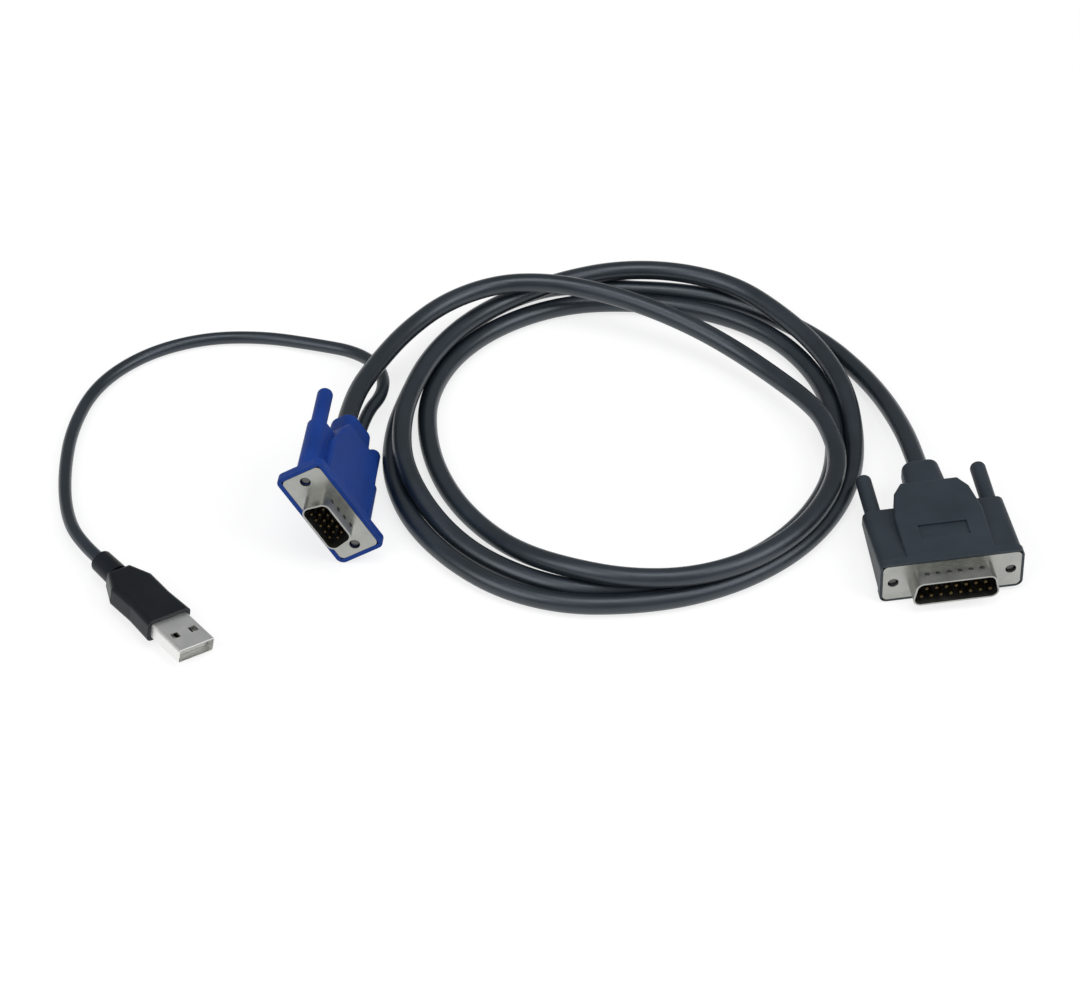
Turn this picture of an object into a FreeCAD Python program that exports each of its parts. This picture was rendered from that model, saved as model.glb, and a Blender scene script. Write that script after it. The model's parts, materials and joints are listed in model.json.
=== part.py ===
import FreeCAD, Part
import Sketcher
import math
import os

# A KVM cable lying on a table: one main cable wound into a loose coil, with a blue 15-pin video plug
# on one end and a grey two-row 15-pin plug on the other, and a thin USB lead out of the video plug.
# Frame: millimetres, +Z up, the table at Z = 0, the origin in the middle of the three plugs.
# Each plug is modelled about the middle of its front face, with Z the way it plugs in, X across
# and Y towards its top, and is then placed on the table.

os.makedirs("parts", exist_ok=True)
doc = FreeCAD.newDocument("kvm_cable")
sheet = doc.addObject("Spreadsheet::Sheet", "Sizes")
sizes = {
    # metal front of a D plug
    "flange_height": 12.5,
    "flange_thickness": 0.8,
    "flange_corner": 1.5,
    "flange_fit": 0.1,
    "skirt_height": 8.36,
    "skirt_depth": 5.9,
    "skirt_wall": 0.5,
    "skirt_lean": 1.47,
    "skirt_corner": 2.4,
    "hole_radius": 1.55,
    "video_flange_width": 30.81,
    "video_skirt_width": 16.92,
    "video_screw_spacing": 24.99,
    "host_flange_width": 39.14,
    "host_skirt_width": 25.25,
    "host_screw_spacing": 33.32,
    # insulator and pins
    "insulator_back": 6.0,
    "insulator_face": 0.6,
    "insulator_fit": 0.1,
    "pin_reach": 5.3,
    "pin_fit": 0.02,
    "pin_tip": 0.2,
    "video_pin_radius": 0.38,
    "video_pin_pitch": 2.29,
    "video_row_pitch": 1.98,
    "host_pin_radius": 0.5,
    "host_pin_pitch": 2.77,
    "host_row_pitch": 2.84,
    # moulded hood of a D plug
    "rim_depth": 2.4,
    "rim_corner": 2.2,
    "core_length": 32.0,
    "core_straight": 19.0,
    "core_waist": 28.2,
    "core_edge": 0.8,
    "core_land": 0.02,
    "wing_length": 25.5,
    "wing_flat": 0.2,
    "collar_root_depth": 2.0,
    "collar_root_height": 9.4,
    "collar_end_height": 8.6,
    "collar_edge": 3.2,
    "collar_lip": 1.2,
    "video_rim": 1.3,
    "video_core_drop": 2.1,
    "video_core_width": 21.2,
    "video_waist_width": 17.6,
    "video_core_rear": 13.4,
    "video_wing_front": 6.4,
    "video_wing_rear": 6.0,
    "video_wing_edge": 2.8,
    "video_collar_length": 8.0,
    "video_collar_root": 12.4,
    "video_collar_end": 11.8,
    "video_collar_shift": 1.2,
    "host_rim": 0.7,
    "host_core_drop": 0.1,
    "host_core_width": 25.2,
    "host_waist_width": 21.6,
    "host_core_rear": 16.4,
    "host_wing_front": 13.2,
    "host_wing_rear": 7.2,
    "host_wing_edge": 2.4,
    "host_collar_length": 11.5,
    "host_collar_root": 12.6,
    "host_collar_end": 10.6,
    "panel_width": 14.0,
    "panel_length": 5.6,
    "panel_middle": 11.6,
    "panel_depth": 0.8,
    # thumbscrew
    "thread_radius": 1.42,
    "thread_length": 6.5,
    "thread_setback": 0.9,
    "thread_tip": 0.4,
    "neck_radius": 1.1,
    "screw_insert": 8.0,
    "screw_fit": 0.2,
    "bore_land": 5.0,
    "knob_radius": 2.3,
    "knob_front": 19.5,
    "video_knob_tip": 42.0,
    "host_knob_tip": 42.6,
    "knob_round": 1.6,
    "knob_fit": 0.2,
    # USB plug
    "usb_shell_width": 12.0,
    "usb_shell_height": 4.5,
    "usb_shell_reach": 13.0,
    "usb_shell_insert": 6.5,
    "usb_shell_wall": 0.3,
    "usb_shell_corner": 0.7,
    "usb_window_width": 2.4,
    "usb_window_length": 2.2,
    "usb_window_spacing": 6.0,
    "usb_window_middle": 7.0,
    "usb_fit": 0.1,
    "usb_hood_front": 14.4,
    "usb_waist_width": 13.2,
    "usb_hood_width": 13.8,
    "usb_hood_height": 7.2,
    "usb_hood_waist": 9.0,
    "usb_hood_shoulder": 18.0,
    "usb_hood_length": 24.5,
    "usb_hood_rear": 7.4,
    "usb_hood_edge": 1.8,
    "usb_neck_length": 8.5,
    "usb_neck_root": 3.5,
    "usb_neck_end": 3.3,
    "usb_neck_lip": 0.9,
    "usb_tongue_thickness": 1.9,
    "usb_tongue_reach": 10.6,
    "usb_tongue_block": 0.6,
    "usb_tongue_edge": 0.4,
    "usb_contact_width": 1.0,
    "usb_contact_thickness": 0.15,
    "usb_contact_length": 8.0,
    "usb_contact_setback": 0.8,
    "usb_contact_pitch": 2.3,
    # cables
    "main_diameter": 5.7,
    "thin_diameter": 3.8,
    "main_exit": 2.5,
    "thin_exit": 3.6,
    "coil_inner": 54.0,
    "coil_outer": 68.5,
    "coil_height": 13.0,
    "coil_edge": 5.0,
    "coil_flat": 0.5,
    # places on the table, and how each plug is turned
    "coil_x": 19.0,
    "coil_y": 48.0,
    "video_x": -63.6,
    "video_y": -0.3,
    "video_yaw": -95.0,
    "video_pitch": 5.4,
    "video_roll": -58.0,
    "host_x": 109.6,
    "host_y": -15.0,
    "host_yaw": -82.3,
    "host_roll": 2.0,
    "usb_x": -107.3,
    "usb_y": -30.9,
    "usb_yaw": -50.0,
    "usb_roll": -12.0,
}
for row, (alias, value) in enumerate(sizes.items(), 1):
    sheet.set(f"A{row}", alias)
    sheet.set(f"B{row}", str(value))
    sheet.setAlias(f"B{row}", alias)
doc.recompute()


def size(alias):
    return float(sheet.get(alias))


def bind(text):
    """Turns words into sheet references, so "rim / 2" becomes "Sizes.rim / 2"."""
    return " ".join(f"Sizes.{word}" if word in sizes else word for word in text.split(" "))


# Sketches


def new_sketch(body, name, plane, offset=None):
    sketch = body.newObject("Sketcher::SketchObject", name)
    support = next(f for f in body.Origin.OriginFeatures if f.Role == plane)
    sketch.AttachmentSupport = (support, [""])
    sketch.MapMode = "FlatFace"
    if offset:
        sketch.setExpression("AttachmentOffset.Base.z", bind(offset))
    return sketch


def pin_point(sketch, geometry, point, place):
    """Fixes a point of the sketch at (x, y), two expressions in the sheet's words."""
    axes = (("DistanceX", -2, place[0]), ("DistanceY", -1, place[1]))
    for kind, axis, text in axes:
        if text == "0":
            sketch.addConstraint(Sketcher.Constraint("PointOnObject", geometry, point, axis))
        else:
            index = sketch.addConstraint(Sketcher.Constraint(kind, geometry, point, 1.0))
            sketch.setExpression(f"Constraints[{index}]", bind(text))


def polygon(body, name, plane, corners, offset=None):
    sketch = new_sketch(body, name, plane, offset)
    count = len(corners)
    turn = 2 * math.pi / count
    around = [FreeCAD.Vector(math.cos(i * turn), math.sin(i * turn), 0) for i in range(count)]
    for i in range(count):
        sketch.addGeometry(Part.LineSegment(around[i], around[(i + 1) % count]))
    for i in range(count):
        sketch.addConstraint(Sketcher.Constraint("Coincident", i, 2, (i + 1) % count, 1))
    for i, corner in enumerate(corners):
        pin_point(sketch, i, 1, corner)
    return sketch


def rectangle(body, name, plane, width, height, offset=None, shift="0"):
    right = f"{shift} + ( {width} ) / 2"
    left = f"{shift} - ( {width} ) / 2"
    y = f"( {height} ) / 2"
    corners = [(right, y), (left, y), (left, f"-1 * {y}"), (right, f"-1 * {y}")]
    return polygon(body, name, plane, corners, offset)


def circles(body, name, plane, middles, radius, offset=None):
    sketch = new_sketch(body, name, plane, offset)
    up = FreeCAD.Vector(0, 0, 1)
    for i, middle in enumerate(middles):
        sketch.addGeometry(Part.Circle(FreeCAD.Vector(i, 0, 0), up, 0.3))
        pin_point(sketch, i, 3, middle)
        index = sketch.addConstraint(Sketcher.Constraint("Radius", i, 0.3))
        sketch.setExpression(f"Constraints[{index}]", bind(radius))
    return sketch


# Features


def new_body(label):
    body = doc.addObject("PartDesign::Body", label)
    body.Label = label
    return body


def pad(body, sketch, length, midplane=False, reverse=False):
    feature = body.newObject("PartDesign::Pad", sketch.Name + "_pad")
    feature.Profile = sketch
    feature.setExpression("Length", bind(length))
    if midplane:
        feature.SideType = "Symmetric"
    feature.Reversed = reverse
    doc.recompute()
    return feature


def pocket(body, sketch, length=None, midplane=False, reverse=False):
    """Cuts a sketch out of the body, right through where no length is given."""
    before = body.Shape.Volume
    feature = body.newObject("PartDesign::Pocket", sketch.Name + "_pocket")
    feature.Profile = sketch
    if length:
        feature.setExpression("Length", bind(length))
    else:
        feature.Type = "ThroughAll"
    if midplane:
        feature.SideType = "Symmetric"
    feature.Reversed = reverse
    doc.recompute()
    if body.Shape.Volume >= before:
        raise RuntimeError(f"{feature.Name} cuts nothing")
    return feature


def loft(body, first, second):
    feature = body.newObject("PartDesign::AdditiveLoft", first.Name + "_loft")
    feature.Profile = first
    feature.Sections = [second]
    feature.Ruled = True
    doc.recompute()
    return feature


def fillet(body, feature, name, radius, test):
    """Rounds the edges of a feature whose middle point and direction pass the test."""
    names = []
    for i, edge in enumerate(feature.Shape.Edges, 1):
        span = edge.LastParameter - edge.FirstParameter
        middle = edge.valueAt(edge.FirstParameter + span / 2)
        along = edge.tangentAt(edge.FirstParameter + span / 2)
        if test(middle, along):
            names.append(f"Edge{i}")
    rounding = body.newObject("PartDesign::Fillet", name)
    rounding.Base = (feature, names)
    rounding.setExpression("Radius", bind(radius))
    doc.recompute()
    return rounding


def near(value, target):
    return abs(value - target) < 0.01


def lengthwise(along):
    return abs(along.z) > 0.9


# D plugs: the same four-sided skirt outline fits the shell, the insulator and the hood's pocket


def skirt_outline(body, name, width, inset, offset=None):
    half = f"( {width} ) / 2"
    top = "skirt_height / 2"
    inner_top = f"( {top} - ( {inset} ) )"
    wide = f"( {half} - ( {inset} ) )"
    narrow = f"( {wide} - skirt_lean )"
    corners = [
        (narrow, inner_top),
        (f"-1 * {narrow}", inner_top),
        (f"-1 * {wide}", f"-1 * {inner_top}"),
        (wide, f"-1 * {inner_top}"),
    ]
    return polygon(body, name, "XY_Plane", corners, offset)


def screw_middles(plug):
    half = f"{plug}_screw_spacing / 2"
    return [(half, "0"), (f"-1 * {half}", "0")]


def make_hood(plug, with_panel, shift):
    body = new_body(f"{plug}_hood")
    flange = f"{plug}_flange_width"
    border = f"2 * {plug}_rim + 2 * flange_fit"
    front_width = f"{flange} + {border}"
    front_height = f"flange_height + {border}"
    core_height = f"{front_height} - 2 * {plug}_core_drop"
    wing_width = f"{plug}_screw_spacing + {plug}_wing_rear"
    start = "-1 * rim_depth / 2"
    top = size("flange_height") / 2 + size(f"{plug}_rim") + size("flange_fit")
    side = size(flange) / 2 + size(f"{plug}_rim") + size("flange_fit")
    core_top = top - size(f"{plug}_core_drop")
    wing_side = (size(f"{plug}_screw_spacing") + size(f"{plug}_wing_rear")) / 2

    # collar that the cable comes out of, rooted in the core; two cables share the video one, off the middle
    collar_end = f"-1 * core_length - {plug}_collar_length"
    rear = -size("core_length") - size(f"{plug}_collar_length")
    root = rectangle(body, f"{plug}_collar_from", "XY_Plane", f"{plug}_collar_root",
                     "collar_root_height", "collar_root_depth - core_length", shift)
    end = rectangle(body, f"{plug}_collar_to", "XY_Plane", f"{plug}_collar_end",
                    "collar_end_height", collar_end, shift)
    feature = loft(body, root, end)
    feature = fillet(body, feature, f"{plug}_collar_round", "collar_edge",
                     lambda middle, along: lengthwise(along))
    fillet(body, feature, f"{plug}_collar_edge", "collar_lip",
           lambda middle, along: near(middle.z, rear))

    # core, seen from above: parallel sides, a slow taper, then shoulders that close in on the collar
    core = polygon(body, f"{plug}_core", "XZ_Plane", [
        (f"{plug}_core_width / 2", start),
        (f"{plug}_core_width / 2", "-1 * core_straight"),
        (f"{shift} + {plug}_waist_width / 2", "-1 * core_waist"),
        (f"{shift} + {plug}_core_rear / 2", "-1 * core_length"),
        (f"{shift} - {plug}_core_rear / 2", "-1 * core_length"),
        (f"{shift} - {plug}_waist_width / 2", "-1 * core_waist"),
        (f"-1 * {plug}_core_width / 2", "-1 * core_straight"),
        (f"-1 * {plug}_core_width / 2", start)])
    feature = pad(body, core, core_height, midplane=True)
    land = f"( {core_height} - collar_root_height ) / 2 - core_land"
    fillet(body, feature, f"{plug}_core_round", f"min( core_edge ; {land} )",
           lambda middle, along: near(abs(middle.y), core_top) and middle.z < -size("rim_depth"))

    # wings, seen from the side: they thin out towards the thumbscrews that run through them
    wings = polygon(body, f"{plug}_wings", "YZ_Plane", [
        (f"{plug}_wing_front / 2", start), (f"-1 * {plug}_wing_front / 2", start),
        (f"-1 * {plug}_wing_rear / 2", "-1 * wing_length"),
        (f"{plug}_wing_rear / 2", "-1 * wing_length")])
    feature = pad(body, wings, wing_width, midplane=True)
    fillet(body, feature, f"{plug}_wing_round",
           f"min( {plug}_wing_edge ; ( {plug}_wing_rear - wing_flat ) / 2 )",
           lambda middle, along: near(abs(middle.x), wing_side) and lengthwise(along))

    # rim around the metal front
    rim = rectangle(body, f"{plug}_rim", "XY_Plane", front_width, front_height)
    feature = pad(body, rim, "rim_depth", reverse=True)
    fillet(body, feature, f"{plug}_rim_round", "rim_corner",
           lambda middle, along: near(abs(middle.x), side) and near(abs(middle.y), top))

    # seats for the flange and the insulator, then the stepped bores of the thumbscrews
    seat = rectangle(body, f"{plug}_seat", "XY_Plane", f"{flange} + 2 * flange_fit",
                     "flange_height + 2 * flange_fit")
    pocket(body, seat, "flange_thickness")
    cavity = skirt_outline(body, f"{plug}_cavity", f"{plug}_skirt_width", "skirt_wall")
    pocket(body, cavity, "insulator_back")
    thread_bore = circles(body, f"{plug}_thread_bore", "XY_Plane", screw_middles(plug),
                          "thread_radius + screw_fit")
    pocket(body, thread_bore, "thread_setback + thread_length + 2 * screw_fit")
    neck_bore = circles(body, f"{plug}_neck_bore", "XY_Plane", screw_middles(plug),
                        "neck_radius + screw_fit")
    pocket(body, neck_bore, "wing_length")
    knob_bore = circles(body, f"{plug}_knob_bore", "XY_Plane", screw_middles(plug),
                        "knob_radius + knob_fit", f"-1 * {plug}_knob_tip")
    pocket(body, knob_bore, f"{plug}_knob_tip - thread_setback - thread_length - bore_land", reverse=True)

    if with_panel:
        panel = polygon(body, f"{plug}_panel", "XZ_Plane", [
            ("panel_width / 2", "-1 * panel_middle + panel_length / 2"),
            ("-1 * panel_width / 2", "-1 * panel_middle + panel_length / 2"),
            ("-1 * panel_width / 2", "-1 * panel_middle - panel_length / 2"),
            ("panel_width / 2", "-1 * panel_middle - panel_length / 2")],
            f"-1 * ( {front_height} ) / 2")
        pocket(body, panel, "panel_depth", reverse=True)
    return body


def make_front_shell(plug):
    body = new_body(f"{plug}_front_shell")
    flange = rectangle(body, f"{plug}_flange", "XY_Plane", f"{plug}_flange_width", "flange_height")
    feature = pad(body, flange, "flange_thickness", reverse=True)
    fillet(body, feature, f"{plug}_flange_round", "flange_corner",
           lambda middle, along: lengthwise(along))
    skirt = skirt_outline(body, f"{plug}_skirt", f"{plug}_skirt_width", "0")
    pad(body, skirt, "skirt_depth")
    inside = skirt_outline(body, f"{plug}_inside", f"{plug}_skirt_width", "skirt_wall", "skirt_depth")
    feature = pocket(body, inside)
    outer = size("skirt_height") / 2
    inner = outer - size("skirt_wall")
    feature = fillet(body, feature, f"{plug}_inside_round", "skirt_corner - skirt_wall",
                     lambda middle, along: lengthwise(along) and near(abs(middle.y), inner))
    fillet(body, feature, f"{plug}_skirt_round", "skirt_corner",
           lambda middle, along: lengthwise(along) and near(abs(middle.y), outer) and middle.z > 0)
    holes = circles(body, f"{plug}_holes", "XY_Plane", screw_middles(plug), "hole_radius")
    pocket(body, holes)
    return body


def video_pins():
    """Three rows of five pins, the middle row half a pitch across."""
    places = []
    for row in (1, 0, -1):
        shift = 0.25 if row == 0 else -0.25
        for column in (-2, -1, 0, 1, 2):
            x = f"{column + shift} * video_pin_pitch"
            places.append((x, f"{row} * video_row_pitch" if row else "0"))
    return places


def host_pins():
    """Two rows, of eight pins on the wide side and seven on the narrow side."""
    wide = [(f"{i - 3.5} * host_pin_pitch", "-1 * host_row_pitch / 2") for i in range(8)]
    narrow = [(f"{i - 3} * host_pin_pitch" if i != 3 else "0", "host_row_pitch / 2") for i in range(7)]
    return wide + narrow


def make_insulator(plug, places):
    body = new_body(f"{plug}_insulator")
    block = skirt_outline(body, f"{plug}_block", f"{plug}_skirt_width", "skirt_wall + insulator_fit",
                          "-1 * insulator_back")
    feature = pad(body, block, "insulator_back + insulator_face")
    fillet(body, feature, f"{plug}_block_round", "skirt_corner - skirt_wall",
           lambda middle, along: lengthwise(along))
    holes = circles(body, f"{plug}_pin_holes", "XY_Plane", places, f"{plug}_pin_radius + pin_fit",
                    "insulator_face")
    pocket(body, holes)
    return body


def make_pins(plug, places):
    body = new_body(f"{plug}_pins")
    body.AllowCompound = True
    rods = circles(body, f"{plug}_rods", "XY_Plane", places, f"{plug}_pin_radius", "-1 * insulator_back")
    feature = pad(body, rods, "insulator_back + pin_reach")
    fillet(body, feature, f"{plug}_pin_round", "pin_tip",
           lambda middle, along: near(middle.z, size("pin_reach")))
    return body


def make_thumbscrew(plug, side, sign):
    middle = [(f"{sign} * {plug}_screw_spacing / 2", "0")]
    screw = new_body(f"{plug}_screw_{side}")
    thread = circles(screw, f"{plug}_thread_{side}", "XY_Plane", middle, "thread_radius",
                     "-1 * thread_setback")
    feature = pad(screw, thread, "thread_length", reverse=True)
    fillet(screw, feature, f"{plug}_thread_round_{side}", "thread_tip",
           lambda point, along: near(point.z, -size("thread_setback")))
    neck = circles(screw, f"{plug}_neck_{side}", "XY_Plane", middle, "neck_radius",
                   "-1 * thread_setback - thread_length")
    pad(screw, neck, "knob_front + screw_insert - thread_setback - thread_length", reverse=True)

    knob = new_body(f"{plug}_knob_{side}")
    grip = circles(knob, f"{plug}_grip_{side}", "XY_Plane", middle, "knob_radius", "-1 * knob_front")
    feature = pad(knob, grip, f"{plug}_knob_tip - knob_front", reverse=True)
    fillet(knob, feature, f"{plug}_grip_round_{side}", "knob_round",
           lambda point, along: near(point.z, -size(f"{plug}_knob_tip")))
    socket = circles(knob, f"{plug}_socket_{side}", "XY_Plane", middle, "neck_radius + pin_fit",
                     "-1 * knob_front")
    pocket(knob, socket, "screw_insert + pin_fit")
    return [knob, screw]


def make_d_plug(plug, places, with_panel, shift):
    parts = [make_hood(plug, with_panel, shift), make_front_shell(plug)]
    parts += [make_insulator(plug, places), make_pins(plug, places)]
    for side, sign in (("left", -1), ("right", 1)):
        parts += make_thumbscrew(plug, side, sign)
    return parts


# USB plug


def make_usb_hood():
    body = new_body("usb_hood")
    flank = [("usb_hood_front / 2", "0"),
             ("usb_waist_width / 2", "-1 * usb_hood_waist"),
             ("usb_hood_width / 2", "-1 * usb_hood_shoulder"),
             ("usb_hood_rear / 2", "-1 * usb_hood_length")]
    other_flank = [(f"-1 * {across}", along) for across, along in reversed(flank)]
    outline = polygon(body, "usb_outline", "XZ_Plane", flank + other_flank)
    feature = pad(body, outline, "usb_hood_height", midplane=True)
    half = size("usb_hood_height") / 2
    fillet(body, feature, "usb_hood_round", "usb_hood_edge",
           lambda middle, along: near(abs(middle.y), half) and middle.z < -0.01)
    root = circles(body, "usb_neck_root_ring", "XY_Plane", [("0", "0")], "usb_neck_root",
                   "-1 * usb_hood_length")
    end = circles(body, "usb_neck_end_ring", "XY_Plane", [("0", "0")], "usb_neck_end",
                  "-1 * usb_hood_length - usb_neck_length")
    feature = loft(body, root, end)
    rear = -size("usb_hood_length") - size("usb_neck_length")
    fillet(body, feature, "usb_neck_round", "usb_neck_lip", lambda middle, along: near(middle.z, rear))
    seat = rectangle(body, "usb_seat", "XY_Plane", "usb_shell_width + 2 * usb_fit",
                     "usb_shell_height + 2 * usb_fit")
    pocket(body, seat, "usb_shell_insert")
    return body


def make_usb_shell():
    body = new_body("usb_shell")
    outside = rectangle(body, "usb_outside", "XY_Plane", "usb_shell_width", "usb_shell_height",
                        "-1 * usb_shell_insert")
    pad(body, outside, "usb_shell_insert + usb_shell_reach")
    inside = rectangle(body, "usb_inside", "XY_Plane", "usb_shell_width - 2 * usb_shell_wall",
                       "usb_shell_height - 2 * usb_shell_wall", "usb_shell_reach")
    feature = pocket(body, inside)
    outer = size("usb_shell_height") / 2
    inner = outer - size("usb_shell_wall")
    feature = fillet(body, feature, "usb_inside_round", "usb_shell_corner - usb_shell_wall",
                     lambda middle, along: lengthwise(along) and near(abs(middle.y), inner))
    fillet(body, feature, "usb_shell_round", "usb_shell_corner",
           lambda middle, along: lengthwise(along) and near(abs(middle.y), outer))
    for name, sign in (("left", -1), ("right", 1)):
        middle = f"{sign} * usb_window_spacing / 2"
        window = polygon(body, f"usb_window_{name}", "XZ_Plane", [
            (f"{middle} + usb_window_width / 2", "usb_window_middle + usb_window_length / 2"),
            (f"{middle} - usb_window_width / 2", "usb_window_middle + usb_window_length / 2"),
            (f"{middle} - usb_window_width / 2", "usb_window_middle - usb_window_length / 2"),
            (f"{middle} + usb_window_width / 2", "usb_window_middle - usb_window_length / 2")])
        pocket(body, window, "2 * usb_shell_height", midplane=True)
    return body


def make_usb_tongue():
    body = new_body("usb_tongue")
    width = "usb_shell_width - 2 * usb_shell_wall - 2 * usb_fit"
    height = "usb_shell_height - 2 * usb_shell_wall - 2 * usb_fit"
    block = rectangle(body, "usb_block", "XY_Plane", width, height, "-1 * usb_shell_insert")
    pad(body, block, "usb_shell_insert + usb_tongue_block")
    half = f"( {width} ) / 2"
    low = f"-1 * ( {height} ) / 2"
    blade = polygon(body, "usb_blade", "XY_Plane", [
        (half, low), (half, f"{low} + usb_tongue_thickness"),
        (f"-1 * {half}", f"{low} + usb_tongue_thickness"), (f"-1 * {half}", low)])
    feature = pad(body, blade, "usb_tongue_reach")
    across = size("usb_shell_width") / 2 - size("usb_shell_wall") - size("usb_fit")
    fillet(body, feature, "usb_tongue_round", "usb_tongue_edge",
           lambda middle, along: lengthwise(along) and near(abs(middle.x), across)
           and not near(middle.y, size("usb_tongue_thickness") + size("usb_shell_wall")
                        + size("usb_fit") - size("usb_shell_height") / 2))
    return body


def make_usb_contacts():
    body = new_body("usb_contacts")
    body.AllowCompound = True
    floor = "usb_shell_wall + usb_fit - usb_shell_height / 2 + usb_tongue_thickness"
    for i, step in enumerate((-1.5, -0.5, 0.5, 1.5)):
        middle = f"{step} * usb_contact_pitch"
        strip = polygon(body, f"usb_strip_{i + 1}", "XY_Plane", [
            (f"{middle} + usb_contact_width / 2", f"{floor} + usb_contact_thickness"),
            (f"{middle} - usb_contact_width / 2", f"{floor} + usb_contact_thickness"),
            (f"{middle} - usb_contact_width / 2", floor),
            (f"{middle} + usb_contact_width / 2", floor)],
            "usb_tongue_reach - usb_contact_setback")
        pad(body, strip, "usb_contact_length", reverse=True)
    return body


# Placing the plugs


def place_plug(parts, x, y, yaw, pitch=0.0, roll=0.0):
    """Turns a plug's parts and lowers them on to the table, and returns their placement."""
    turn = FreeCAD.Rotation(FreeCAD.Vector(0, 0, 1), yaw + 90)
    turn = turn.multiply(FreeCAD.Rotation(FreeCAD.Vector(1, 0, 0), 90 - pitch))
    turn = turn.multiply(FreeCAD.Rotation(FreeCAD.Vector(0, 0, 1), roll))
    place = FreeCAD.Placement(FreeCAD.Vector(x, y, 0), turn)
    for part in parts:
        part.Placement = place
    doc.recompute()
    lowest = min(part.Shape.optimalBoundingBox(False).ZMin for part in parts)
    place.Base.z = -lowest
    for part in parts:
        part.Placement = place
    return place


# Cables


def rounded_path(points):
    """Straight runs joined by tangent arcs, each arc as large as its two runs allow."""
    reach = 0.45
    edges = []
    radii = []
    last = points[0]
    for before, corner, after in zip(points, points[1:], points[2:]):
        back = before - corner
        ahead = after - corner
        cut = reach * min(back.Length, ahead.Length)
        turn = math.pi - back.getAngle(ahead)
        radius = cut / math.tan(turn / 2)
        radii.append(radius)
        back.normalize()
        ahead.normalize()
        start = corner + back * cut
        stop = corner + ahead * cut
        inward = back + ahead
        inward.normalize()
        middle = corner + inward * (radius / math.cos(turn / 2) - radius)
        edges.append(Part.LineSegment(last, start).toShape())
        edges.append(Part.Arc(start, middle, stop).toShape())
        last = stop
    edges.append(Part.LineSegment(last, points[-1]).toShape())
    return Part.Wire(edges), radii


def make_cable(label, points, diameter):
    path, radii = rounded_path(points)
    along = points[1] - points[0]
    ring = Part.Wire(Part.Circle(points[0], along, diameter / 2).toShape())
    cable = doc.addObject("Part::Feature", label)
    cable.Label = label
    cable.Shape = path.makePipeShell([ring], True, False)
    section = math.pi * diameter ** 2 / 4
    ratio = cable.Shape.Volume / (section * path.Length)
    if abs(ratio - 1) > 0.01:
        raise RuntimeError(f"{label} has {ratio:.3f} of its volume")
    print(label, f"length {path.Length:.1f}", "radii", [round(radius, 1) for radius in radii])
    print(label, "points", [tuple(round(c, 1) for c in point) for point in points])
    return cable


def make_coil():
    """The outer shape of the wound turns: one ring, flat underneath, with rounded edges."""
    body = new_body("main_cable_coil")
    section = polygon(body, "coil_section", "XZ_Plane", [
        ("coil_inner", "0"), ("coil_outer", "0"), ("coil_outer", "coil_height"),
        ("coil_inner", "coil_height")])
    ring = body.newObject("PartDesign::Revolution", "coil_ring")
    ring.Profile = section
    ring.ReferenceAxis = (section, ["V_Axis"])
    ring.Angle = 360.0
    doc.recompute()
    widest = "( coil_outer - coil_inner - coil_flat ) / 2"
    tallest = "( coil_height - coil_flat ) / 2"
    fillet(body, ring, "coil_round", f"min( coil_edge ; {widest} ; {tallest} )",
           lambda middle, along: True)
    body.Placement = FreeCAD.Placement(FreeCAD.Vector(size("coil_x"), size("coil_y"), 0),
                                       FreeCAD.Rotation())
    return body


# Routes on the table, chosen by eye, between the ends that the plugs give
VIDEO_ROUTE = [(-52.5, 72, 15.5), (-41, 88, 18), (-23, 100, 21.5), (5, 100.5, 21.5), (26, 93.5, 17.5),
               (45, 84, 12), (60, 72.5, 8), (72, 56, 7), (78, 36.5, 7)]
HOST_ROUTE = [(98, 54, 5.4), (92.5, 70, 3.2), (83, 87, 2.9), (69.5, 101, 2.9),
              (52.5, 109, 2.9), (35, 111, 3.1)]
USB_ROUTE = [(-53.5, 66, 7.8), (-57, 80, 5), (-70, 89.5, 2.3), (-89, 93.5, 1.9), (-109, 92, 1.9),
             (-127, 82.5, 1.9), (-139, 65.5, 1.9), (-143, 44.5, 1.9), (-142, 24, 1.9)]
FIRST_RUN = 14.0

video_parts = make_d_plug("video", video_pins(), with_panel=False, shift="video_collar_shift")
host_parts = make_d_plug("host", host_pins(), with_panel=True, shift="0")
usb_parts = [make_usb_hood(), make_usb_shell(), make_usb_tongue(), make_usb_contacts()]
coil = make_coil()

video = place_plug(video_parts, size("video_x"), size("video_y"), size("video_yaw"),
                   size("video_pitch"), size("video_roll"))
host = place_plug(host_parts, size("host_x"), size("host_y"), size("host_yaw"), roll=size("host_roll"))
usb = place_plug(usb_parts, size("usb_x"), size("usb_y"), size("usb_yaw"), roll=size("usb_roll"))


def leaves(place, across, rear):
    """The point where a cable leaves a plug, and the next point straight behind it."""
    return [place.multVec(FreeCAD.Vector(across, 0, -rear - run)) for run in (0, FIRST_RUN)]


def vectors(route):
    return [FreeCAD.Vector(*point) for point in route]


video_rear = size("core_length") + size("video_collar_length")
host_rear = size("core_length") + size("host_collar_length")
neck_rear = size("usb_hood_length") + size("usb_neck_length")
video_end = leaves(video, size("video_collar_shift") - size("main_exit"), video_rear)
thin_end = leaves(video, size("video_collar_shift") + size("thin_exit"), video_rear)
host_end = leaves(host, 0, host_rear)
usb_end = leaves(usb, 0, neck_rear)
cables = [
    make_cable("main_cable_video_lead", video_end + vectors(VIDEO_ROUTE), size("main_diameter")),
    make_cable("main_cable_host_lead", host_end + vectors(HOST_ROUTE), size("main_diameter")),
    make_cable("usb_lead", thin_end + vectors(USB_ROUTE) + usb_end[::-1], size("thin_diameter")),
]

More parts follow.
